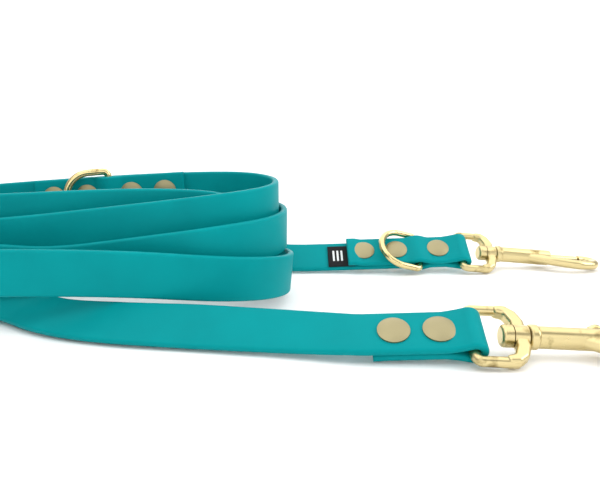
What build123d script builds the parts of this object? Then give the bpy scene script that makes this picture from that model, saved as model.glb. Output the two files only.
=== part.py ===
from build123d import *
import math
import os

# A double-ended leash of coated webbing, wound on edge in loose oblong turns on a flat surface.
# The layout frame has +X along the leash's ends, +Y away from the open side and +Z up.

# Strap
STRAP_WIDTH = 16.0
STRAP_THICK = 2.5
BACK_LEAN = 55.0  # both ends lie over on one edge, this far from upright, in degrees
FRONT_LEAN = 63.0

# Folded ends, measured from the crossbar's axis along the strap
WIRE_R = 1.65  # swivel eye's wire
BAR_FIT = 0.1  # radial clearance round every crossbar
FRONT_RIVETS = (-9.4, -23.1)
FRONT_TAIL = -29.7
FRONT_JOINT = -34.0
BACK_RIVETS = (-10.7, -30.3, -45.7)
BACK_TAIL = -53.3
BACK_JOINT = -63.5
END_RING_AT = -20.1
FLAT_FROM = -4.35  # the two layers meet here
HUMP_HALF = 4.35  # half length of the hump over a D-ring's bar

# Rivets
CAP_R = 5.0
CAP_RISE = 1.4
CAP_RIM = 0.5
STEM_R = 1.5
STEM_FIT = 0.1
SOCKET_DEPTH = 0.8

# D-rings
RING_WIRE_R = 1.5
RING_HALF = 10.25  # half width at the wire's centre
RING_SIDE = 8.0  # straight part of each side
CORNER_R = 2.2
END_RING_LEAN = 20.0  # the rings lie this far up from the strap, in degrees
MIDDLE_RING_LEAN = 15.0

# Ring overlay, on the straight back run of the third turn
OVERLAY_LENGTH = 66.0
OVERLAY_RIVETS = (-24.5, -9.8, 9.8, 24.5)
OVERLAY_X = -84.0
OVERLAY_Y = 268.0  # the layout line of that run

# Label
LABEL_LENGTH = 12.5
LABEL_WIDTH = 12.5
LABEL_THICK = 0.8
LABEL_TUCK = 3.2  # how much of it is clamped under the tail
LABEL_ASIDE = -1.3  # its middle's distance from the strap's

# Swivel eye
EYE_HALF = 10.35
EYE_SIDE = 12.4
EYE_SHOULDER_R = 3.4
EYE_FLAT = 5.6  # half of the arch's straight stretch
EYE_ARCH = 15.2
BOSS_INNER = 12.7
BOSS_OUTER = 17.0
BOSS_R = 3.5
BAND_THICK = 4.4
BAND_ROUND = 1.3
BAND_INSIDE = ((12.7, 4.8), (11.4, 8.0), (8.6, 8.9))  # half of the arch's flat band, in plan
BAND_OUTSIDE = ((8.6, 11.6), (12.5, 11.4), (15.4, 9.0), (17.0, 5.2))

# Swivel pin
PIN_R = 2.0
PIN_FIT = 0.06
PIN_HEAD_R = 3.5
PIN_HEAD_FROM = 9.0
PIN_HEAD_TO = 12.4
PIN_HEAD_ROUND = 1.2
PIN_INTO_HEAD = 0.5
PIN_END = 25.0

# Hook body, with its axis along X, the thumb stud at +Y and the hook arm at -Y
COLLAR_FROM = 17.3
COLLAR_TO = 20.4
COLLAR_R = 3.9
COLLAR_ROUND = 0.9
BARREL_INTO_COLLAR = 1.0
BARREL_ROUND = 0.8
BARREL_TO = 45.0
BARREL_Y = 2.9
BARREL_Z = 3.6
BORE_R = 1.85
BORE_FROM = 27.0
SLOT_WIDTH = 2.4
SLOT_FIT = 0.3
SLOT_DEPTH = 6.0
BORE_RUNOUT = 6.0
ARM_R = 2.1
ARM_POINTS = ((34.0, -0.9), (43.0, -6.4), (54.0, -11.2), (64.4, -9.2), (65.6, 0.0), (59.6, 0.0))
ARM_ARCS = (9.0, 10.0, 6.5, 3.6)

# Bolt, stud and spring
BOLT_R = 1.75
BOLT_FROM = 36.5
BOLT_TO = 59.2
BOLT_TRAVEL = 6.5
BOLT_CHAMFER = 0.5
BOLT_HOLE_DEPTH = 3.0
STUD_X = 39.5
STUD_SHANK_R = 1.0
STUD_HEAD_R = 2.7
STUD_HEAD_FROM = 3.4
STUD_HEAD_TO = 5.4
STUD_HEAD_ROUND = 0.6
STUD_INTO_HEAD = 0.2
SPRING_R = 1.25
SPRING_WIRE_R = 0.25
SPRING_TURNS = 5
SPRING_FIT = 0.05

# Rest attitude of the two snaps: eye turned about its crossbar, body turned about the snap's axis
FRONT_EYE_TURN = -6.0
BACK_EYE_TURN = -9.0
FRONT_ROLL = -17.0
BACK_ROLL = -35.0

# The crossbars' middles, and the strap's direction at each, travelling from back end to front end
BACK_BAR = (75.6, 277.5, 9.05)
BACK_ALONG = (-1, -0.012, -0.03)
FRONT_BAR = (51.5, 171.5, 7.45)
FRONT_ALONG = (1, -0.057, 0.049)

# The strap's centre line, from the back end to the front end, as (x, y, lower edge z, lean).
# Lean is the upper edge's tilt towards the inside of the coil, in degrees.
BACK_ROUTE = (
    (-4, 277.1, 0.2, -55),
    (-32, 277.7, 0.35, -40),
    (-63, 279.6, 0.4, -14),
    (-96, 272, 3.3, -3),
)
# The coil, one row for each half turn. First its bend: tip x, y in, y out, lower edge z in, at the
# tip, and out, lean at the tip. Then the points of the run that follows: x, y, lower edge z.
HALF_TURNS = (
    ((-141, 261.5, 221.5, 17, 21.6, 26.8, 0), ((-98, 222.5, 28.3), (-58, 224.5, 29.6))),
    ((-21, 225, 257, 28.4, 19, 8, 0), ((-62, 255, 1.5), (-104, 250, 0))),
    ((-152, 248, 215, 2, 10, 18.1, 0), ((-108, 214.5, 19.6), (-66, 213, 24.4))),
    ((-9.8, 213, OVERLAY_Y, 29, 30.6, 31.9, 0), ((-62, OVERLAY_Y, 31.1), (-106, OVERLAY_Y, 28.4))),
    ((-171, OVERLAY_Y, 209.5, 24.6, 18.4, 13.4, 0), ((-112, 209.5, 11.5), (-88, 206.5, 10.5),
                                                    (-60, 203.6, 14.4))),
    ((-6.5, 203, 276, 18.8, 19.6, 20, -1), ((-66, 276.3, 20.3), (-110, 276.3, 20.1))),
    ((-182, 276, 187.5, 17.5, 7, 13, 0), ((-112, 187.8, 14.3), (-62, 192.4, 13))),
    ((-4.4, 199, 263, 8.7, 2.8, 0, -8), ((-60, 261, 0), (-98, 258, 0))),
    ((-163, 256, 212.5, 0, 0.2, 0.6, 6), ()),
)
FRONT_ROUTE = (
    (-120, 213, 0.9, 48),
    (-103, 208.6, 0.4, 64),
    (-86, 195.5, 0.3, 64),
    (-64, 187, 0.3, 56),
    (-34, 182, 0.3, 51),
    (-6, 178, 0.6, 56),
)
BEND_POINTS = 4
ARC_SHARE = 0.45
ARC_PARTS = 4

# The layout's offset to the row's origin, at the bottom centre of everything
ORIGIN = Vector(-20.36, 223.535, 0)


def strap_axes(along, lean):
    """Across and face directions of the strap, travelling along a direction with a lean."""
    along = Vector(*along).normalized()
    inward = Vector(-along.Y, along.X, 0).normalized()
    upright = along.cross(inward)
    tilt = math.radians(lean)
    across = upright * math.cos(tilt) + inward * math.sin(tilt)
    face = inward * math.cos(tilt) - upright * math.sin(tilt)
    return across, face


def centre_height(bottom, lean):
    """Height of the strap's centre when its lower edge is at a height."""
    tilt = math.radians(abs(lean))
    return bottom + STRAP_WIDTH / 2 * math.cos(tilt) + STRAP_THICK / 2 * math.sin(tilt)


def end_frame(bar, along, side, lean):
    """Frame on an end's crossbar: +X along the strap to the snap, +Z out of the upper face."""
    _, face = strap_axes(along, side * lean)
    return Plane(origin=Vector(*bar), x_dir=Vector(*along) * side, z_dir=face * -side)


def bend_points(row):
    """Route points round one bend, as (x, y, lower edge z, lean)."""
    tip, y_in, y_out, z_in, z_tip, z_out, lean = row
    side = 1 if y_out > y_in else -1
    radius = abs(y_out - y_in) / 2
    centre = tip - side * radius
    reach = radius / math.cos(math.pi / BEND_POINTS / 2)
    points = []
    for step in range(BEND_POINTS):
        angle = math.pi * ((step + 0.5) / BEND_POINTS - 0.5)
        share = 2 * step / (BEND_POINTS - 1) - 1
        bottom = z_tip + ((z_out if share > 0 else z_in) - z_tip) * abs(share)
        x = centre + side * reach * math.cos(angle)
        y = (y_in + y_out) / 2 + side * reach * math.sin(angle)
        points.append((x, y, bottom, lean * (1 - abs(share))))
    return points


def coil_points():
    """Route points of the whole coil, one half turn after another."""
    points = []
    for bend, run in HALF_TURNS:
        points += bend_points(bend)
        points += [(x, y, z, 0) for x, y, z in run]
    return points


def route():
    """Every route point of the strap as (centre, lean), end to end."""
    rows = list(BACK_ROUTE) + coil_points() + list(FRONT_ROUTE)
    return [(Vector(x, y, centre_height(z, lean)), lean) for x, y, z, lean in rows]


def layer_centre(frame, x, side):
    """A point on the middle of the main layer of a folded end."""
    return frame.from_local_coords((x, 0, side * STRAP_THICK / 2))


def tangent_point(x, z, radius, side):
    """Where the tangent from a point meets a circle about the origin, above or below it."""
    distance = math.hypot(x, z)
    angle = math.atan2(z, x) - side * math.acos(radius / distance)
    return radius * math.cos(angle), radius * math.sin(angle)


def teardrop(corner_x, corner_z, radius):
    """Side view of a layer drawn round a bar at the origin, from a flat stretch."""
    upper = tangent_point(corner_x, corner_z, radius, 1)
    lower = (upper[0], -upper[1])
    with BuildSketch(Plane.XZ) as shape:
        with BuildLine():
            Polyline(lower, (corner_x, -corner_z), (corner_x, corner_z), upper)
            ThreePointArc(upper, (radius, 0), lower)
        make_face()
    return shape.sketch


def pointed_drop(corner_x, radius):
    """Side view of the space round a bar, closing to a point."""
    upper = tangent_point(corner_x, 0, radius, 1)
    lower = (upper[0], -upper[1])
    with BuildSketch(Plane.XZ) as shape:
        with BuildLine():
            Polyline(lower, (corner_x, 0), upper)
            ThreePointArc(upper, (radius, 0), lower)
        make_face()
    return shape.sketch


def across_strap(sketch):
    """Extrude a side view over the strap's width."""
    return extrude(sketch, amount=STRAP_WIDTH / 2, both=True)


def slab(x_from, x_to, z_from, z_to, width=STRAP_WIDTH):
    """A flat block between two stations."""
    size = (x_to - x_from, width, z_to - z_from)
    return Pos((x_from + x_to) / 2, 0, (z_from + z_to) / 2) * Box(*size)


def hump(radius, z=0.0):
    """Double-sided drop round a bar, for the layers over a D-ring or the space inside them."""
    outer = across_strap(teardrop(-HUMP_HALF, STRAP_THICK, radius))
    return Pos(0, 0, z) * (outer + mirror(outer, Plane.YZ))


def ring_tunnel():
    """Space round a D-ring's bar, closing to a point on both sides."""
    half = across_strap(pointed_drop(-HUMP_HALF, RING_WIRE_R + BAR_FIT))
    return half + mirror(half, Plane.YZ)


def stem_hole(x):
    """Hole for a rivet's stem."""
    return Pos(x, 0, 0) * Cylinder(STEM_R + STEM_FIT, 4 * STRAP_THICK)


def folded_end(joint, tail, side, rivets, ring_at=None):
    """Both layers of an end, round its crossbar. The main layer is above for side 1."""
    main = slab(joint, FLAT_FROM, min(0, side * STRAP_THICK), max(0, side * STRAP_THICK))
    under = slab(tail, FLAT_FROM, min(0, -side * STRAP_THICK), max(0, -side * STRAP_THICK))
    loop_r = WIRE_R + BAR_FIT
    loop = across_strap(teardrop(FLAT_FROM, STRAP_THICK, loop_r + STRAP_THICK))
    end = main + under + loop - across_strap(pointed_drop(FLAT_FROM, loop_r))
    if ring_at is not None:
        end += Pos(ring_at, 0, 0) * hump(RING_WIRE_R + BAR_FIT + STRAP_THICK)
        end -= Pos(ring_at, 0, 0) * ring_tunnel()
    for x in rivets:
        end -= stem_hole(x)
    return end


def strap_path(points):
    """Straight runs and tangent arcs through the route's points, with the arcs' radii."""
    radii = []
    for before, here, after in zip(points, points[1:], points[2:]):
        arriving, leaving = here - before, after - here
        turn = math.radians(arriving.get_angle(leaving))
        run = min(arriving.length, leaving.length)
        radii.append(ARC_SHARE * run / math.tan(turn / 2))
    path = FilletPolyline(*points, radius=radii)
    return path, radii


def strap_sections(points, leans):
    """Cross-sections of the strap along its path, and the path's length and radii."""
    path, radii = strap_path(points)
    edges = path.edges()
    corners, travelled = [0.0], 0.0
    for number, edge in enumerate(edges):
        if number % 2:
            corners.append(travelled + edge.length / 2)
        travelled += edge.length
    corners.append(travelled)
    sections, travelled = [], 0.0
    for number, edge in enumerate(edges):
        parts = ARC_PARTS if number % 2 else 1
        stations = range(parts + 1) if number == 0 else range(1, parts + 1)
        for station in stations:
            share = station / parts
            place = travelled + share * edge.length
            lean = between(place, corners, leans)
            sections.append(section(edge @ share, edge % share, lean))
        travelled += edge.length
    return sections, travelled, radii


def between(place, places, values):
    """Value at a place on a line through values given at places."""
    for start, end, first, last in zip(places, places[1:], values, values[1:]):
        if place <= end + 1e-6:
            return first + (last - first) * (place - start) / (end - start)
    return values[-1]


def section(centre, along, lean):
    """The strap's rectangular section."""
    across, face = strap_axes(along, lean)
    half_width = across * (STRAP_WIDTH / 2)
    half_thick = face * (STRAP_THICK / 2)
    corners = [
        centre + half_width + half_thick,
        centre + half_width - half_thick,
        centre - half_width - half_thick,
        centre - half_width + half_thick,
    ]
    return Wire.make_polygon(corners, close=True)


def overlay_frame():
    """Frame on the ring overlay: origin at the ring, +X along the run, +Z out of its face."""
    points = route()
    third_turn = [i for i, (p, _) in enumerate(points) if abs(p.Y - OVERLAY_Y) < 0.01]
    start, end = points[third_turn[1]][0], points[third_turn[2]][0]
    share = (OVERLAY_X - start.X) / (end.X - start.X)
    along = (end - start).normalized()
    _, face = strap_axes(along, 0)
    centre = start + (end - start) * share + face * (STRAP_THICK / 2)
    return Plane(origin=centre, x_dir=along, z_dir=face)


def leash_strap(back, front):
    """The whole strap, coil and both folded ends, as one solid."""
    points = [layer_centre(back, BACK_JOINT, -1)]
    points += [point for point, _ in route()]
    points.append(layer_centre(front, FRONT_JOINT, 1))
    leans = [-BACK_LEAN] + [lean for _, lean in route()] + [FRONT_LEAN]
    sections, length, radii = strap_sections(points, leans)
    coil = Solid.make_loft(sections, ruled=True)
    expected = length * STRAP_WIDTH * STRAP_THICK
    print("strap between the folds", round(length), "mm, volume over section times length",
          round(coil.volume / expected, 4))
    print("strap radii", [round(radius, 1) for radius in radii])
    whole = length - BACK_JOINT - FRONT_JOINT
    print("strap from loop to loop", round(whole), "mm")
    strap = coil + back * folded_end(BACK_JOINT, BACK_TAIL, -1, BACK_RIVETS, END_RING_AT)
    strap += front * folded_end(FRONT_JOINT, FRONT_TAIL, 1, FRONT_RIVETS)
    patch = overlay_frame()
    for x in OVERLAY_RIVETS:
        strap -= patch * stem_hole(x)
    return strap - back * label_block()


def ring_overlay():
    """Short strip riveted over the middle ring's bar."""
    half = OVERLAY_LENGTH / 2
    bar = RING_WIRE_R + BAR_FIT
    strip = slab(-half, half, 0, STRAP_THICK)
    strip += overlay_hump(bar + STRAP_THICK, STRAP_THICK)
    strip -= overlay_hump(bar, 0)
    for x in OVERLAY_RIVETS:
        strip -= stem_hole(x)
    return strip


def overlay_hump(radius, corner_z):
    """Hump of the overlay over a bar that lies on the strap's face."""
    bar = RING_WIRE_R + BAR_FIT
    x, z = tangent_point(-HUMP_HALF, corner_z - bar, radius, 1)
    with BuildSketch(Plane.XZ) as shape:
        with BuildLine():
            Polyline((x, z + bar), (-HUMP_HALF, corner_z), (HUMP_HALF, corner_z), (-x, z + bar))
            ThreePointArc((x, z + bar), (0, radius + bar), (-x, z + bar))
        make_face()
    return across_strap(shape.sketch)


def label_block():
    """Folded woven label, partly under the back tail."""
    start = BACK_TAIL + LABEL_TUCK - LABEL_LENGTH
    return Pos(0, LABEL_ASIDE, 0) * slab(start, start + LABEL_LENGTH, 0, LABEL_THICK, LABEL_WIDTH)


def rivet_dome():
    """Domed disc of a rivet, seated at z 0 and standing up."""
    dome_r = (CAP_R ** 2 + (CAP_RISE - CAP_RIM) ** 2) / (2 * (CAP_RISE - CAP_RIM))
    with BuildSketch(Plane.XZ) as shape:
        with BuildLine():
            Polyline((0, CAP_RISE), (0, 0), (CAP_R, 0), (CAP_R, CAP_RIM))
            RadiusArc((CAP_R, CAP_RIM), (0, CAP_RISE), -dome_r)
        make_face()
    return revolve(shape.sketch, Axis.Z)


def rivets(places, low, high):
    """Caps above and posts below a stack of layers, as two groups."""
    caps, posts = [], []
    dome = rivet_dome()
    socket = Pos(0, 0, SOCKET_DEPTH / 2) * Cylinder(STEM_R, SOCKET_DEPTH)
    stem_length = high - low + SOCKET_DEPTH
    stem = Pos(0, 0, low + stem_length / 2) * Cylinder(STEM_R, stem_length)
    for x in places:
        caps.append(Pos(x, 0, high) * (dome - socket))
        posts.append(Pos(x, 0, 0) * (stem + Pos(0, 0, low) * mirror(dome, Plane.XY)))
    return caps, posts


def d_ring():
    """D-ring with its bar on the Y axis and its bow towards +X."""
    half, side, corner = RING_HALF, RING_SIDE, CORNER_R
    turn = corner * (1 - math.sqrt(0.5))
    with BuildLine() as path:
        Line((0, -half + corner), (0, half - corner))
        ThreePointArc((0, half - corner), (turn, half - turn), (corner, half))
        Line((corner, half), (side, half))
        ThreePointArc((side, half), (side + half, 0), (side, -half))
        Line((side, -half), (corner, -half))
        ThreePointArc((corner, -half), (turn, -half + turn), (0, -half + corner))
    wire = path.wire()
    return sweep(Plane(origin=wire @ 0, z_dir=wire % 0) * Circle(RING_WIRE_R), path=wire)


def swivel_eye():
    """Squared eye with its crossbar on the Y axis and a bored boss towards +X."""
    corners = [(0, -EYE_HALF), (0, EYE_HALF), (EYE_SIDE, EYE_HALF), (EYE_ARCH, EYE_FLAT),
               (EYE_ARCH, -EYE_FLAT), (EYE_SIDE, -EYE_HALF)]
    radii = [CORNER_R, CORNER_R, EYE_SHOULDER_R, CORNER_R, CORNER_R, EYE_SHOULDER_R]
    path = FilletPolyline(*corners, radius=radii, close=True).wire()
    eye = sweep(Plane(origin=path @ 0, z_dir=path % 0) * Circle(WIRE_R), path=path)
    half = BAND_INSIDE + BAND_OUTSIDE
    outline = list(half) + [(x, -y) for x, y in reversed(half)]
    band = Plane.XY * make_face(Polyline(*outline, close=True))
    band = extrude(fillet(band.vertices(), BAND_ROUND), amount=BAND_THICK / 2, both=True)
    rims = band.edges().group_by(Axis.Z)
    eye += fillet(rims[0] + rims[-1], BAND_ROUND)
    eye += along_x(BOSS_R, BOSS_INNER, BOSS_OUTER)
    hole = PIN_R + PIN_FIT
    return eye - Pos(EYE_ARCH, 0, 0) * Rot(0, 90, 0) * Cylinder(hole, 4 * WIRE_R)


def along_x(radius, start, end):
    """Round bar on the X axis."""
    return Pos((start + end) / 2, 0, 0) * Rot(0, 90, 0) * Cylinder(radius, end - start)


def swivel_pin():
    """Headed pin through the eye's boss into the hook body."""
    head = along_x(PIN_HEAD_R, PIN_HEAD_FROM, PIN_HEAD_TO)
    head = fillet(head.edges().sort_by(Axis.X)[0], PIN_HEAD_ROUND)
    return head + along_x(PIN_R, PIN_HEAD_TO - PIN_INTO_HEAD, PIN_END)


def hook_body():
    """Collar, barrel and hook arm, cast in one, with the bolt's bore and the stud's slot."""
    collar = along_x(COLLAR_R, COLLAR_FROM, COLLAR_TO)
    collar = fillet(collar.edges().filter_by(GeomType.CIRCLE), COLLAR_ROUND)
    barrel_from = COLLAR_TO - BARREL_INTO_COLLAR
    oval = Plane(origin=(barrel_from, 0, 0), x_dir=(0, 1, 0), z_dir=(1, 0, 0))
    barrel = extrude(oval * Ellipse(BARREL_Y, BARREL_Z), amount=BARREL_TO - barrel_from)
    barrel = fillet(barrel.edges().sort_by(Axis.X)[-1], BARREL_ROUND)
    path = FilletPolyline(*ARM_POINTS, radius=list(ARM_ARCS)).wire()
    arm = sweep(Plane(origin=path @ 0, z_dir=path % 0) * Circle(ARM_R), path=path)
    body = collar + barrel + arm
    body -= along_x(BORE_R, BORE_FROM, BARREL_TO + BORE_RUNOUT)
    body -= along_x(PIN_R, COLLAR_FROM - 1, PIN_END)
    slot_from = STUD_X - BOLT_TRAVEL - STUD_SHANK_R - SLOT_FIT
    slot_to = STUD_X + STUD_SHANK_R + SLOT_FIT
    slot = Pos((slot_from + slot_to) / 2, SLOT_DEPTH / 2, 0)
    slot *= Box(slot_to - slot_from, SLOT_DEPTH, SLOT_WIDTH)
    return body - slot


def bolt():
    """Sliding latch with a cross hole for the stud."""
    bar = along_x(BOLT_R, BOLT_FROM, BOLT_TO)
    bar = chamfer(bar.edges().sort_by(Axis.X)[-1], BOLT_CHAMFER)
    hole = Pos(STUD_X, BOLT_HOLE_DEPTH / 2, 0) * Rot(90, 0, 0)
    return bar - hole * Cylinder(STUD_SHANK_R, BOLT_HOLE_DEPTH)


def thumb_stud():
    """Stud in the bolt, with a knurled-edge head outside the barrel."""
    shank_length = STUD_HEAD_FROM + STUD_INTO_HEAD
    shank = Pos(STUD_X, shank_length / 2, 0) * Rot(90, 0, 0) * Cylinder(STUD_SHANK_R, shank_length)
    head_length = STUD_HEAD_TO - STUD_HEAD_FROM
    head = Pos(STUD_X, STUD_HEAD_FROM + head_length / 2, 0) * Rot(90, 0, 0)
    head *= Cylinder(STUD_HEAD_R, head_length)
    head = fillet(head.edges().filter_by(GeomType.CIRCLE), STUD_HEAD_ROUND)
    return shank + head


def bolt_spring():
    """Coil spring between the bore's blind end and the bolt."""
    start = BORE_FROM + SPRING_WIRE_R + SPRING_FIT
    height = BOLT_FROM - BORE_FROM - 2 * SPRING_WIRE_R - 2 * SPRING_FIT
    coil = Helix(height / SPRING_TURNS, height, SPRING_R)
    spring = sweep(Plane(origin=coil @ 0, z_dir=coil % 0) * Circle(SPRING_WIRE_R), path=coil)
    return Pos(start, 0, 0) * Rot(0, 90, 0) * spring


def write(name, shape):
    """Move a node from the layout to the row's frame and write it."""
    solids = shape if isinstance(shape, list) else [shape]
    moved = [Pos(*(-ORIGIN)) * solid for solid in solids]
    node = moved[0] if len(moved) == 1 else Compound(children=moved)
    export_step(node, f"parts/{name}.step")
    return moved


def write_snap(end, frame, eye_turn, roll):
    """All six pieces of one end's snap."""
    eye_place = frame.location * Rot(0, -eye_turn, 0)
    body_place = eye_place * Rot(roll, 0, 0)
    write(f"{end}_swivel_eye", eye_place * swivel_eye())
    pieces = {
        "swivel_pin": swivel_pin(),
        "hook_body": hook_body(),
        "bolt": bolt(),
        "thumb_stud": thumb_stud(),
        "bolt_spring": bolt_spring(),
    }
    for name, piece in pieces.items():
        write(f"{end}_{name}", body_place * piece)
    snap_axis = (body_place * Pos(1, 0, 0)).position - body_place.position
    axes = {"eye hinge axis": frame.y_dir, "snap axis": snap_axis}
    print(end, "bar", tuple(round(v, 3) for v in frame.origin - ORIGIN),
          {k: tuple(round(v, 5) for v in axis) for k, axis in axes.items()})


def write_rivets(name, frame, places, low, high):
    """One node of caps and one of posts."""
    caps, posts = rivets(places, low, high)
    write(f"{name}_rivet_caps", [frame * cap for cap in caps])
    write(f"{name}_rivet_posts", [frame * post for post in posts])


def main():
    os.makedirs("parts", exist_ok=True)
    back = end_frame(BACK_BAR, BACK_ALONG, -1, BACK_LEAN)
    front = end_frame(FRONT_BAR, FRONT_ALONG, 1, FRONT_LEAN)
    patch = overlay_frame()
    write("leash_strap", leash_strap(back, front))
    write("ring_overlay", patch * ring_overlay())
    write("label", back * label_block())
    write_rivets("front_end", front, FRONT_RIVETS, -STRAP_THICK, STRAP_THICK)
    write_rivets("back_end", back, BACK_RIVETS, -STRAP_THICK, STRAP_THICK)
    write_rivets("overlay", patch, OVERLAY_RIVETS, -STRAP_THICK, STRAP_THICK)
    end_ring = back * Pos(END_RING_AT, 0, 0) * Rot(0, END_RING_LEAN + 180, 0) * d_ring()
    middle_ring = patch * Pos(0, 0, RING_WIRE_R + BAR_FIT) * Rot(0, -MIDDLE_RING_LEAN, 0) * d_ring()
    write("end_d_ring", end_ring)
    write("middle_d_ring", middle_ring)
    write_snap("front", front, FRONT_EYE_TURN, FRONT_ROLL)
    write_snap("back", back, BACK_EYE_TURN, BACK_ROLL)


main()
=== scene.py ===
import math

import bpy
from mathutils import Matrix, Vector


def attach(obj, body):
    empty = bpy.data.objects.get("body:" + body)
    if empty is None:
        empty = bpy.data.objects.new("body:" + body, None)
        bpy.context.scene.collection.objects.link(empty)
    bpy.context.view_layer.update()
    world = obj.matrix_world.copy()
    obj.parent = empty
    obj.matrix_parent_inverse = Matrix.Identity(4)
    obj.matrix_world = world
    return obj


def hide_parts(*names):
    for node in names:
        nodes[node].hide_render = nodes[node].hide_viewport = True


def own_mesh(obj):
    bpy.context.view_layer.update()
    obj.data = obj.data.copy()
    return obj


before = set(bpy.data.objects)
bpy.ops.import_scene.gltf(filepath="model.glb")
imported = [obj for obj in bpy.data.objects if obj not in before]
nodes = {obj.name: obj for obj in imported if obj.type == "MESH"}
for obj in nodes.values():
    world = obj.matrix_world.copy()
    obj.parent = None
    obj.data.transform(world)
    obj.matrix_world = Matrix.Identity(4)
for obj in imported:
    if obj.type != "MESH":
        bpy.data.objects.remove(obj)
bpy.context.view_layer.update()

# The layout frame has +X along the leash's ends, +Y away from the open side and +Z up, in
# millimetres. place() moves a point of it to the row's frame, in metres.
MM = 0.001
LAYOUT_ORIGIN = Vector((-20.36, 223.535, 0))

# Strap
STRAP_WIDTH = 16.0
STRAP_THICK = 2.5
EDGE_ROUND = 1.0
EDGE_STEPS = 5
FACE_PARTS = 6
UV_SCALE = 10  # texture units in a metre
BACK_LEAN = 55.0
FRONT_LEAN = 63.0

# Folded ends, from the crossbar's axis along the strap
LOOP_R = 3.0  # the strap's middle line round the bar
LOOP_SPREAD = 112.0  # the loop stays round the bar this far from its nose, in degrees
LOOP_MEETS = -8.2
BACK_TAIL = -53.3
BACK_JOINT = -63.5
FRONT_TAIL = -29.7
FRONT_JOINT = -34.0
BACK_INNER = -50.0  # the folded parts' main layers run in to here
FRONT_INNER = -27.0
INNER_GAP = 0.4
END_REACH = 90.0
END_RING_AT = -20.1
RING_BAR = 1.62
HUMP_HALF = 6.2
TAIL_RISE = 0.25  # the front tail's tip stands this proud
TAIL_RISE_OVER = 5.0
LABEL_RISE_OVER = 4.0
LOOP_PULL = 3.2  # how far the layers stay straight on their way to the loop

# Ring overlay
OVERLAY_X = -84.0
OVERLAY_Y = 268.0  # the layout line of the run it lies on
OVERLAY_LENGTH = 66.0
OVERLAY_HUMP_HALF = HUMP_HALF + 0.6

# Label
LABEL_LENGTH = 12.5
LABEL_WIDTH = 12.5
LABEL_THICK = 0.8
LABEL_TUCK = 3.2
LABEL_ASIDE = -1.3
LABEL_STEPS = 25
LABEL_INSET = 0.15
LABEL_GAP = 0.04
LABEL_ROUND = 0.3
LABEL_STRIPES = (-59.8, -57.9, -56.0)
STRIPE_HALF = 3.2
STRIPE_WIDTH = 0.9
STRIPE_THICK = 0.14
STRIPE_STEPS = 8
STRIPE_ROUND = 0.06

# The crossbars' middles, and the strap's direction at each, travelling from back end to front end
BACK_BAR = (75.6, 277.5, 9.05)
BACK_ALONG = (-1, -0.012, -0.03)
FRONT_BAR = (51.5, 171.5, 7.45)
FRONT_ALONG = (1, -0.057, 0.049)

# The strap's centre line, from the back end to the front end, as (x, y, lower edge z, lean).
# Lean is the upper edge's tilt towards the inside of the coil, in degrees.
BACK_ROUTE = (
    (-4, 277.1, 0.2, -55),
    (-32, 277.7, 0.35, -40),
    (-63, 279.6, 0.4, -14),
    (-96, 272, 3.3, -3),
)
# The coil, one row for each half turn. First its bend: tip x, y in, y out, lower edge z in, at the
# tip, and out, lean at the tip. Then the points of the run that follows: x, y, lower edge z.
HALF_TURNS = (
    ((-141, 261.5, 221.5, 17, 21.6, 26.8, 0), ((-98, 222.5, 28.3), (-58, 224.5, 29.6))),
    ((-21, 225, 257, 28.4, 19, 8, 0), ((-62, 255, 1.5), (-104, 250, 0))),
    ((-152, 248, 215, 2, 10, 18.1, 0), ((-108, 214.5, 19.6), (-66, 213, 24.4))),
    ((-9.8, 213, OVERLAY_Y, 29, 30.6, 31.9, 0), ((-62, OVERLAY_Y, 31.1), (-106, OVERLAY_Y, 28.4))),
    ((-171, OVERLAY_Y, 209.5, 24.6, 18.4, 13.4, 0), ((-112, 209.5, 11.5), (-88, 206.5, 10.5),
                                                    (-60, 203.6, 14.4))),
    ((-6.5, 203, 276, 18.8, 19.6, 20, -1), ((-66, 276.3, 20.3), (-110, 276.3, 20.1))),
    ((-182, 276, 187.5, 17.5, 7, 13, 0), ((-112, 187.8, 14.3), (-62, 192.4, 13))),
    ((-4.4, 199, 263, 8.7, 2.8, 0, -8), ((-60, 261, 0), (-98, 258, 0))),
    ((-163, 256, 212.5, 0, 0.2, 0.6, 6), ()),
)
FRONT_ROUTE = (
    (-120, 213, 0.9, 48),
    (-103, 208.6, 0.4, 64),
    (-86, 195.5, 0.3, 64),
    (-64, 187, 0.3, 56),
    (-34, 182, 0.3, 51),
    (-6, 178, 0.6, 56),
)
BEND_POINTS = 4


# ---------------------------------------------------------------- camera

CAMERA_HEIGHT = 72.5
CAMERA_PITCH = 12.77
CAMERA_LENS = 36  # the same as its sensor's width
CAMERA_CLIP = 0.01


def place(point):
    """A layout point in the row's frame, in metres."""
    return (Vector(point) - LAYOUT_ORIGIN) * MM


def make_camera():
    data = bpy.data.cameras.new("camera")
    data.sensor_width = CAMERA_LENS
    data.lens = CAMERA_LENS
    data.clip_start = CAMERA_CLIP
    camera = bpy.data.objects.new("camera", data)
    camera.location = place((0, 0, CAMERA_HEIGHT))
    camera.rotation_euler = (math.radians(90 - CAMERA_PITCH), 0, 0)
    bpy.context.collection.objects.link(camera)
    bpy.context.scene.camera = camera


# ---------------------------------------------------------------- the strap's route


def strap_axes(along, lean):
    """Across and face directions of the strap, travelling along a direction with a lean."""
    along = Vector(along).normalized()
    inward = Vector((-along.y, along.x, 0)).normalized()
    upright = along.cross(inward)
    tilt = math.radians(lean)
    across = upright * math.cos(tilt) + inward * math.sin(tilt)
    face = inward * math.cos(tilt) - upright * math.sin(tilt)
    return across, face


def centre_height(bottom, lean):
    """Height of the strap's centre when its lower edge is at a height."""
    tilt = math.radians(abs(lean))
    return bottom + STRAP_WIDTH / 2 * math.cos(tilt) + STRAP_THICK / 2 * math.sin(tilt)


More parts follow.
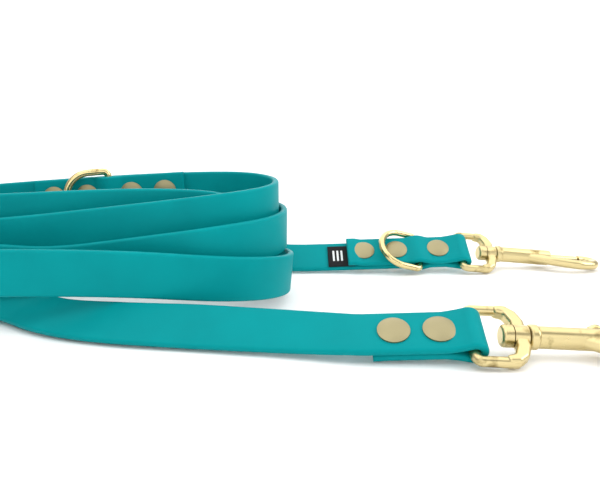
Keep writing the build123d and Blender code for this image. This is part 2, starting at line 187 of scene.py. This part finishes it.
class End:
    """An end's frame: +X along the strap to the snap, +Y across it, +Z out of its upper face."""

    def __init__(self, bar, along, side, lean):
        _, face = strap_axes(along, side * lean)
        self.side = side
        self.origin = Vector(bar)
        self.x = Vector(along).normalized() * side
        self.z = face * -side
        self.y = self.z.cross(self.x)

    def point(self, x, y, z):
        return self.origin + self.x * x + self.y * y + self.z * z

    def layer(self, x):
        """A point on the middle of the main layer."""
        return self.point(x, 0, self.side * STRAP_THICK / 2)


def bend_points(row):
    """Route points round one bend, as (x, y, lower edge z, lean)."""
    tip, y_in, y_out, z_in, z_tip, z_out, lean = row
    side = 1 if y_out > y_in else -1
    radius = abs(y_out - y_in) / 2
    centre = tip - side * radius
    reach = radius / math.cos(math.pi / BEND_POINTS / 2)
    points = []
    for step in range(BEND_POINTS):
        angle = math.pi * ((step + 0.5) / BEND_POINTS - 0.5)
        share = 2 * step / (BEND_POINTS - 1) - 1
        bottom = z_tip + ((z_out if share > 0 else z_in) - z_tip) * abs(share)
        x = centre + side * reach * math.cos(angle)
        y = (y_in + y_out) / 2 + side * reach * math.sin(angle)
        points.append((x, y, bottom, lean * (1 - abs(share))))
    return points


def route_points():
    """Every route point of the strap between the folded ends, as (centre, lean)."""
    rows = list(BACK_ROUTE)
    for bend, run in HALF_TURNS:
        rows += bend_points(bend)
        rows += [(x, y, z, 0) for x, y, z in run]
    rows += FRONT_ROUTE
    return [(Vector((x, y, centre_height(z, lean))), lean) for x, y, z, lean in rows]


SPAN_STEPS = 14


def strap_line(back, front):
    """Points of the strap's spline, in the layout, with the lean at each."""
    controls = [(back.layer(x), -BACK_LEAN) for x in (LOOP_R, -30, BACK_TAIL, BACK_JOINT)]
    controls += route_points()
    controls += [(front.layer(x), FRONT_LEAN) for x in (FRONT_JOINT, FRONT_TAIL, -12, LOOP_R)]
    curve = bpy.data.curves.new("strap route", "CURVE")
    curve.dimensions = "3D"
    curve.resolution_u = SPAN_STEPS
    spline = curve.splines.new("NURBS")
    spline.points.add(len(controls) - 1)
    for point, (centre, _) in zip(spline.points, controls):
        point.co = (*place(centre), 1)
    spline.order_u = 3
    spline.use_endpoint_u = True
    holder = bpy.data.objects.new("strap route", curve)
    mesh = bpy.data.meshes.new_from_object(holder)
    line = [vertex.co / MM + LAYOUT_ORIGIN for vertex in mesh.vertices]
    bpy.data.objects.remove(holder)
    bpy.data.curves.remove(curve)
    bpy.data.meshes.remove(mesh)
    spans = len(controls) - 2
    knots = [0.0] + [span + 0.5 for span in range(1, spans)] + [len(controls) - 1.0]
    leans = []
    for index in range(len(line)):
        where = index / (len(line) - 1) * spans
        span = min(int(where), spans - 1)
        at = knots[span] + (knots[span + 1] - knots[span]) * (where - span)
        first = min(int(at), len(controls) - 2)
        share = at - first
        leans.append(controls[first][1] * (1 - share) + controls[first + 1][1] * share)
    return line, leans


def ease(share):
    """Smooth step from 0 to 1."""
    share = min(max(share, 0.0), 1.0)
    return share * share * (3 - 2 * share)


def layer_height(x, ring_at):
    """Distance of a layer's middle line from the plane where the two layers meet."""
    height = STRAP_THICK / 2
    if ring_at is not None:
        off = abs(x - ring_at) / HUMP_HALF
        height += RING_BAR * (1 - ease(off)) if off < 1 else 0
    return height


LAYER_STEP = 0.8
LOOP_STEPS = 30
MERGE_STEPS = 12


def folded_line(end, tail_x, inner_x, ring_at=None):
    """(x, z) of the strap's middle line from the tail's tip, round the bar, to the main layer."""
    tail_side = -end.side
    rows = []
    count = round((LOOP_MEETS - tail_x) / LAYER_STEP)
    for step in range(count + 1):
        x = tail_x + (LOOP_MEETS - tail_x) * step / count
        rows.append((x, tail_side * (layer_height(x, ring_at) + tail_lift(end, x, tail_x))))
    spread = math.radians(LOOP_SPREAD)
    touch = Vector((LOOP_R * math.cos(spread), LOOP_R * math.sin(spread)))
    heading = Vector((math.sin(spread), -math.cos(spread)))
    start = Vector((LOOP_MEETS, STRAP_THICK / 2))
    merge = []
    for step in range(1, MERGE_STEPS):
        merge.append(hermite(start, Vector((LOOP_PULL, 0)), touch, heading * LOOP_PULL, step / MERGE_STEPS))
    rows += [(point.x, tail_side * point.y) for point in merge]
    for step in range(LOOP_STEPS + 1):
        angle = spread - 2 * spread * step / LOOP_STEPS
        rows.append((LOOP_R * math.cos(angle), tail_side * LOOP_R * math.sin(angle)))
    rows += [(point.x, -tail_side * point.y) for point in reversed(merge)]
    count = round((LOOP_MEETS - inner_x) / LAYER_STEP)
    for step in range(count + 1):
        x = LOOP_MEETS + (inner_x - LOOP_MEETS) * step / count
        rows.append((x, -tail_side * layer_height(x, ring_at)))
    return rows


def tail_lift(end, x, tail_x):
    """The back tail rides up over the label, and ends a little proud of the main layer."""
    if end.side > 0:
        return TAIL_RISE * ease((tail_x + TAIL_RISE_OVER - x) / TAIL_RISE_OVER)
    clear = tail_x + LABEL_TUCK + LABEL_RISE_OVER
    return LABEL_THICK * ease((clear - x) / LABEL_RISE_OVER)


def hermite(start, leaving, end, arriving, share):
    """Point on a cubic between two points with given tangents."""
    t = share
    a = 2 * t ** 3 - 3 * t ** 2 + 1
    b = t ** 3 - 2 * t ** 2 + t
    c = 3 * t ** 2 - 2 * t ** 3
    d = t ** 3 - t ** 2
    return start * a + leaving * b + end * c + arriving * d


# ---------------------------------------------------------------- ribbon meshes


def ring_section(width, thick, rounding):
    """Outline of a strap's section with rounded corners, as (across, face)."""
    outline = []
    for corner in range(4):
        sx, sy = ((1, 1), (-1, 1), (-1, -1), (1, -1))[corner]
        for step in range(EDGE_STEPS + 1):
            angle = math.pi / 2 * (corner + step / EDGE_STEPS)
            outline.append((sx * (width / 2 - rounding) + rounding * math.cos(angle),
                            sy * (thick / 2 - rounding) + rounding * math.sin(angle)))
    # a few more points over both faces
    dense = []
    for first, second in zip(outline, outline[1:] + outline[:1]):
        dense.append(first)
        if abs(first[0] - second[0]) > width / 2:
            for part in range(1, FACE_PARTS):
                share = part / FACE_PARTS
                dense.append((first[0] + (second[0] - first[0]) * share, first[1]))
    return dense


def ribbon(name, stations, width=STRAP_WIDTH, thick=STRAP_THICK, rounding=EDGE_ROUND):
    """A strap's mesh along stations of (centre, across, face), in layout millimetres."""
    outline = ring_section(width, thick, rounding)
    around = len(outline)
    vertices, faces, lengths = [], [], [0.0]
    for (one, _, _), (two, _, _) in zip(stations, stations[1:]):
        lengths.append(lengths[-1] + (two - one).length)
    for centre, across, face in stations:
        for side, out in outline:
            vertices.append(place(centre + across * side + face * out))
    for row in range(len(stations) - 1):
        base = row * around
        for step in range(around):
            after = (step + 1) % around
            faces.append((base + step, base + around + step, base + around + after, base + after))
    faces.append(tuple(range(around)))
    faces.append(tuple(reversed(range(len(vertices) - around, len(vertices)))))
    mesh = bpy.data.meshes.new(name)
    mesh.from_pydata(vertices, [], faces)
    layer = mesh.uv_layers.new(name="UVMap")
    perimeter = [0.0]
    for first, second in zip(outline, outline[1:] + outline[:1]):
        perimeter.append(perimeter[-1] + math.dist(first, second))
    for polygon in mesh.polygons:
        for corner, loop in enumerate(polygon.loop_indices):
            vertex = mesh.loops[loop].vertex_index
            row, step = divmod(vertex, around)
            along = perimeter[step]
            if step == 0 and len(polygon.vertices) == 4 and corner in (2, 3):
                along = perimeter[-1]
            layer.data[loop].uv = (lengths[row] * MM * UV_SCALE, along * MM * UV_SCALE)
    for polygon in mesh.polygons:
        polygon.use_smooth = len(polygon.vertices) == 4
    mesh.update()
    thing = bpy.data.objects.new(name, mesh)
    bpy.context.collection.objects.link(thing)
    return thing, lengths[-1]


def stations_of(line, leans):
    """Centre, across and face at points of the strap's line."""
    rows = []
    for index, (centre, lean) in enumerate(zip(line, leans)):
        before = line[max(index - 1, 0)]
        after = line[min(index + 1, len(line) - 1)]
        across, face = strap_axes(after - before, lean)
        rows.append((centre, across, face))
    return rows


def folded_stations(end, rows, travelling):
    """Centre, across and face along a folded end. travelling is 1 from the tail, -1 to it."""
    rows = rows if travelling > 0 else rows[::-1]
    stations = []
    for index, (x, z) in enumerate(rows):
        bx, bz = rows[max(index - 1, 0)]
        ax, az = rows[min(index + 1, len(rows) - 1)]
        along = (end.x * (ax - bx) + end.z * (az - bz)).normalized()
        across = end.y
        stations.append((end.point(x, 0, z), across, along.cross(across) * -1))
    return stations


def outside(row, end, inner):
    """Whether a station of the coil lies beyond an end's folded part."""
    away = row[0] - end.origin
    return away.dot(end.x) < inner - INNER_GAP or away.length > END_REACH


def make_strap(back, front):
    """The whole strap: back tail, loop, coil, front loop and front tail."""
    line, leans = strap_line(back, front)
    middle = stations_of(line, leans)
    coil = [row for row in middle if outside(row, back, BACK_INNER) and outside(row, front, FRONT_INNER)]
    back_rows = folded_line(back, BACK_TAIL, BACK_INNER, END_RING_AT)
    front_rows = folded_line(front, FRONT_TAIL, FRONT_INNER)
    start = folded_stations(back, back_rows, 1)
    finish = folded_stations(front, front_rows, -1)
    start = matched(start, coil[0])
    finish = matched(finish, coil[-1])
    strap, length = ribbon("strap", start + coil + finish)
    strap_path = [place(point) for point in line]
    loop_length = sum((b - a).length for a, b in zip(strap_path, strap_path[1:]))
    print("strap", round(length), "mm with its tails; loop to loop", round(loop_length, 4), "m")
    return strap, strap_path, loop_length


def matched(stations, neighbour):
    """Turn the sections so that they meet the neighbour's without a twist."""
    ends = (stations[0], stations[-1])
    near = min(ends, key=lambda row: (row[0] - neighbour[0]).length)
    flip_across = -1 if near[1].dot(neighbour[1]) < 0 else 1
    flip_face = -1 if near[2].dot(neighbour[2]) < 0 else 1
    return [(centre, across * flip_across, face * flip_face) for centre, across, face in stations]


def overlay_stations():
    """Stations of the ring overlay, over the ring's bar."""
    points = [point for point, _ in route_points() if abs(point.y - OVERLAY_Y) < 0.01]
    start, end = points[1], points[2]
    share = (OVERLAY_X - start.x) / (end.x - start.x)
    along = (end - start).normalized()
    across, face = strap_axes(along, 0)
    origin = start + (end - start) * share + face * (STRAP_THICK / 2)
    rows = []
    count = round(OVERLAY_LENGTH / LAYER_STEP)
    for step in range(count + 1):
        x = -OVERLAY_LENGTH / 2 + OVERLAY_LENGTH * step / count
        off = abs(x) / OVERLAY_HUMP_HALF
        height = 2 * RING_BAR * (1 - ease(off)) if off < 1 else 0.0
        rows.append((x, STRAP_THICK / 2 + height))
    stations = []
    for index, (x, z) in enumerate(rows):
        bx, bz = rows[max(index - 1, 0)]
        ax, az = rows[min(index + 1, len(rows) - 1)]
        heading = (along * (ax - bx) + face * (az - bz)).normalized()
        stations.append((origin + along * x + face * z, across, heading.cross(across) * -1))
    return stations


def label_stations(back):
    """Stations of the folded label under the back tail's tip."""
    start = BACK_TAIL + LABEL_TUCK - LABEL_LENGTH
    rows = []
    for step in range(LABEL_STEPS + 1):
        x = start + LABEL_INSET + (LABEL_LENGTH - 2 * LABEL_INSET) * step / LABEL_STEPS
        rows.append((x, LABEL_THICK / 2 + LABEL_GAP))
    return [(back.point(x, LABEL_ASIDE, z), back.y, back.z) for x, z in rows]


def make_label(back):
    """The tab and three plain pale stripes woven across it."""
    tab, _ = ribbon("label_tab", label_stations(back), LABEL_WIDTH, LABEL_THICK, LABEL_ROUND)
    dress(tab, label_material())
    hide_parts("label")
    thread = plain_material("label thread", (0.75, 0.76, 0.76), 0.7)
    pieces = [tab]
    for number, x in enumerate(LABEL_STRIPES, 1):
        height = LABEL_THICK + LABEL_GAP + STRIPE_THICK / 3
        rows = []
        for step in range(STRIPE_STEPS + 1):
            y = LABEL_ASIDE + STRIPE_HALF * (2 * step / STRIPE_STEPS - 1)
            rows.append((back.point(x, y, height), back.x, back.z))
        stripe, _ = ribbon(f"label_stripe_{number}", rows, STRIPE_WIDTH, STRIPE_THICK, STRIPE_ROUND)
        dress(stripe, thread)
        pieces.append(stripe)
    for piece in pieces:
        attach(piece, "leash")
    return pieces


# ---------------------------------------------------------------- materials


class Nodes:
    """Short ways to add shader nodes to a material."""

    def __init__(self, name):
        self.material = bpy.data.materials.new(name)
        self.material.use_nodes = True
        self.tree = self.material.node_tree
        self.shader = self.tree.nodes["Principled BSDF"]

    def add(self, kind, **values):
        node = self.tree.nodes.new(kind)
        for key, value in values.items():
            setattr(node, key, value)
        return node

    def link(self, source, target):
        self.tree.links.new(source, target)

    def noise(self, coordinates, scale, detail=4.0, roughness=0.5, stretch=(1, 1, 1)):
        mapping = self.add("ShaderNodeMapping")
        mapping.inputs["Scale"].default_value = stretch
        self.link(coordinates, mapping.inputs["Vector"])
        noise = self.add("ShaderNodeTexNoise")
        noise.inputs["Scale"].default_value = scale
        noise.inputs["Detail"].default_value = detail
        noise.inputs["Roughness"].default_value = roughness
        self.link(mapping.outputs["Vector"], noise.inputs["Vector"])
        return noise.outputs["Fac"]

    def ramp(self, factor, stops):
        node = self.add("ShaderNodeValToRGB")
        elements = node.color_ramp.elements
        elements[0].position, elements[0].color = stops[0][0], stops[0][1]
        elements[1].position, elements[1].color = stops[-1][0], stops[-1][1]
        for position, colour in stops[1:-1]:
            element = elements.new(position)
            element.color = colour
        self.link(factor, node.inputs["Fac"])
        return node.outputs["Color"]

    def range(self, factor, low, high):
        node = self.add("ShaderNodeMapRange")
        node.inputs["To Min"].default_value = low
        node.inputs["To Max"].default_value = high
        self.link(factor, node.inputs["Value"])
        return node.outputs["Result"]

    def bump(self, height, strength, distance, normal=None):
        node = self.add("ShaderNodeBump")
        node.inputs["Strength"].default_value = strength
        node.inputs["Distance"].default_value = distance
        self.link(height, node.inputs["Height"])
        if normal is not None:
            self.link(normal, node.inputs["Normal"])
        return node.outputs["Normal"]


def webbing_material(name):
    """Smooth coated webbing: satin teal plastic over a weave that barely shows."""
    n = Nodes(name)
    coords = n.add("ShaderNodeTexCoord")
    space = coords.outputs["UV"]
    world = coords.outputs["Object"]
    cloudy = n.noise(world, 55, 3)
    fine = n.noise(world, 900, 2)
    colour = n.ramp(cloudy, [(0.25, (0.0, 0.236, 0.250, 1)), (0.75, (0.0, 0.268, 0.282, 1))])
    n.link(colour, n.shader.inputs["Base Color"])
    rough = n.range(cloudy, 0.42, 0.52)
    n.link(rough, n.shader.inputs["Roughness"])
    n.shader.inputs["Specular IOR Level"].default_value = 0.05
    streaks = n.noise(space, 60, 3, stretch=(0.12, 3, 1))
    first = n.bump(streaks, 0.12, 0.00012)
    second = n.bump(fine, 0.08, 0.00004, first)
    n.link(second, n.shader.inputs["Normal"])
    return n.material


def brass_material(name, light, dark, rough, dark_from, grain):
    """Pale plated brass with darker, slightly rougher patches of painted dark reflection, placed at random
    by noise.
    """
    n = Nodes(name)
    coords = n.add("ShaderNodeTexCoord").outputs["Object"]
    patch = n.noise(coords, grain, 5, 0.55)
    fine = n.noise(coords, 1500, 3)
    # painted dark reflection: noise patches darken the base colour where the real brass mirrors dark
    # surroundings
    colour = n.ramp(patch, [(dark_from - 0.14, dark), (dark_from, light), (0.9, light)])
    n.link(colour, n.shader.inputs["Base Color"])
    n.link(n.range(patch, rough + 0.1, rough), n.shader.inputs["Roughness"])
    n.shader.inputs["Metallic"].default_value = 1.0
    n.link(n.bump(fine, 0.05, 0.00003), n.shader.inputs["Normal"])
    return n.material


def label_material():
    """Black weave of the label's tab."""
    n = Nodes("label weave")
    coords = n.add("ShaderNodeTexCoord").outputs["UV"]
    wave = n.add("ShaderNodeTexWave")
    wave.inputs["Scale"].default_value = 60
    wave.inputs["Distortion"].default_value = 0.4
    n.link(coords, wave.inputs["Vector"])
    weave = n.ramp(wave.outputs["Fac"], [(0.2, (0.004, 0.004, 0.005, 1)), (0.9, (0.012, 0.012, 0.014, 1))])
    n.link(weave, n.shader.inputs["Base Color"])
    n.shader.inputs["Roughness"].default_value = 0.7
    n.shader.inputs["Specular IOR Level"].default_value = 0.2
    n.link(n.bump(wave.outputs["Fac"], 0.3, 0.0001), n.shader.inputs["Normal"])
    return n.material


def steel_material():
    """Bright spring wire."""
    n = Nodes("spring wire")
    coords = n.add("ShaderNodeTexCoord").outputs["Object"]
    patch = n.noise(coords, 900, 3)
    colour = n.ramp(patch, [(0.3, (0.45, 0.44, 0.42, 1)), (0.7, (0.68, 0.67, 0.65, 1))])
    n.link(colour, n.shader.inputs["Base Color"])
    n.shader.inputs["Metallic"].default_value = 1.0
    n.shader.inputs["Roughness"].default_value = 0.25
    return n.material


def plain_material(name, colour, rough):
    n = Nodes(name)
    n.shader.inputs["Base Color"].default_value = (*colour, 1)
    n.shader.inputs["Roughness"].default_value = rough
    return n.material


def dress(thing, material):
    thing.data.materials.clear()
    thing.data.materials.append(material)


# ---------------------------------------------------------------- studio


def area_light(name, at, target, size, power):
    data = bpy.data.lights.new(name, "AREA")
    data.shape = "RECTANGLE"
    data.size, data.size_y = size
    data.energy = power
    light = bpy.data.objects.new(name, data)
    light.location = at
    light.rotation_euler = (Vector(target) - Vector(at)).to_track_quat("-Z", "Y").to_euler()
    bpy.context.collection.objects.link(light)


def make_world():
    """Even white light, dimmer on the open side, so that metal has something dark to mirror."""
    world = bpy.data.worlds.new("studio")
    bpy.context.scene.world = world
    world.use_nodes = True
    tree = world.node_tree
    tree.nodes["Background"].inputs["Color"].default_value = (1, 1, 1, 1)
    coords = tree.nodes.new("ShaderNodeTexCoord")
    split = tree.nodes.new("ShaderNodeSeparateXYZ")
    dim = tree.nodes.new("ShaderNodeMapRange")
    dim.inputs["From Min"].default_value = -0.75
    dim.inputs["From Max"].default_value = 0.15
    dim.inputs["To Min"].default_value = 0.35
    dim.inputs["To Max"].default_value = 0.6
    tree.links.new(coords.outputs["Generated"], split.inputs["Vector"])
    tree.links.new(split.outputs["Y"], dim.inputs["Value"])
    tree.links.new(dim.outputs["Result"], tree.nodes["Background"].inputs["Strength"])


def make_studio():
    """White floor that curves up into a white wall, and soft light from above and in front."""
    rows = []
    for step in range(13):
        angle = math.pi / 2 * step / 12
        rows.append((2.2 + 1.2 * math.sin(angle), 1.2 - 1.2 * math.cos(angle)))
    rows = [(-6.0, 0.0)] + rows + [(3.4, 5.0)]
    vertices = [(x, y, z) for y, z in rows for x in (-7.0, 7.0)]
    faces = [(2 * i, 2 * i + 1, 2 * i + 3, 2 * i + 2) for i in range(len(rows) - 1)]
    mesh = bpy.data.meshes.new("studio")
    mesh.from_pydata(vertices, [], faces)
    for polygon in mesh.polygons:
        polygon.use_smooth = True
    floor = bpy.data.objects.new("studio", mesh)
    floor.location.z = -0.0002
    bpy.context.collection.objects.link(floor)
    dress(floor, plain_material("studio white", (0.93, 0.93, 0.93), 0.9))
    area_light("key", (-0.6, -0.8, 1.4), (0, 0, 0), (1.6, 1.2), 8)
    area_light("top", (0.1, 0.4, 1.7), (0, 0, 0), (3.2, 2.6), 34)
    area_light("side", (1.3, -0.3, 0.8), (0.05, 0, 0), (0.9, 0.9), 9)
    area_light("front", (0, -1.9, 0.6), (0, 0, 0.02), (3.0, 1.1), 14)
    area_light("wall", (0, 1.2, 1.6), (0, 3.3, 0.7), (3.0, 1.0), 110)
    make_world()
    bpy.context.scene.view_settings.view_transform = "Standard"


# ---------------------------------------------------------------- assembly

make_camera()
back_end = End(BACK_BAR, BACK_ALONG, -1, BACK_LEAN)
front_end = End(FRONT_BAR, FRONT_ALONG, 1, FRONT_LEAN)
strap, strap_path, strap_length = make_strap(back_end, front_end)
teal = webbing_material("coated webbing")
dress(strap, teal)
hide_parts("leash_strap")
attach(strap, "leash")

overlay, _ = ribbon("ring_overlay_strip", overlay_stations())
dress(overlay, teal)
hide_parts("ring_overlay")
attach(overlay, "leash")

label_pieces = make_label(back_end)

PALE_GOLD = (0.70, 0.57, 0.28, 1)
# painted dark reflection: the colour of the brass's darker patches, which stand in for dark surroundings
# mirrored in the metal
PAINTED_DARK_REFLECTION = (0.26, 0.19, 0.07, 1)
polished = brass_material("polished brass", PALE_GOLD, PAINTED_DARK_REFLECTION, 0.16, 0.4, 190)
cast = brass_material("cast brass", (0.64, 0.53, 0.27, 1), PAINTED_DARK_REFLECTION, 0.24, 0.42, 150)
capped = brass_material("plated caps", (0.33, 0.29, 0.165, 1), (0.26, 0.22, 0.11, 1), 0.42, 0.4, 120)
wire = steel_material()
FINISHES = {"d_ring": polished, "eye": cast, "pin": cast, "body": cast, "bolt": polished,
            "stud": polished, "caps": capped, "posts": capped, "spring": wire}
for node, thing in nodes.items():
    for ending, material in FINISHES.items():
        if node.endswith(ending):
            dress(thing, material)

# Each bolt's spring gets a mesh of its own.
for end in ("front", "back"):
    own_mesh(nodes[f"{end}_bolt_spring"])

FRONT_PIECES = ("swivel_eye", "swivel_pin", "hook_body", "bolt", "thumb_stud", "bolt_spring")
carried = [nodes[f"{end}_{piece}"] for end in ("front", "back") for piece in FRONT_PIECES]
carried += [nodes[f"{end}_end_rivet_{part}"] for end in ("front", "back") for part in ("caps", "posts")]
carried += [nodes["end_d_ring"]] + label_pieces

make_studio()
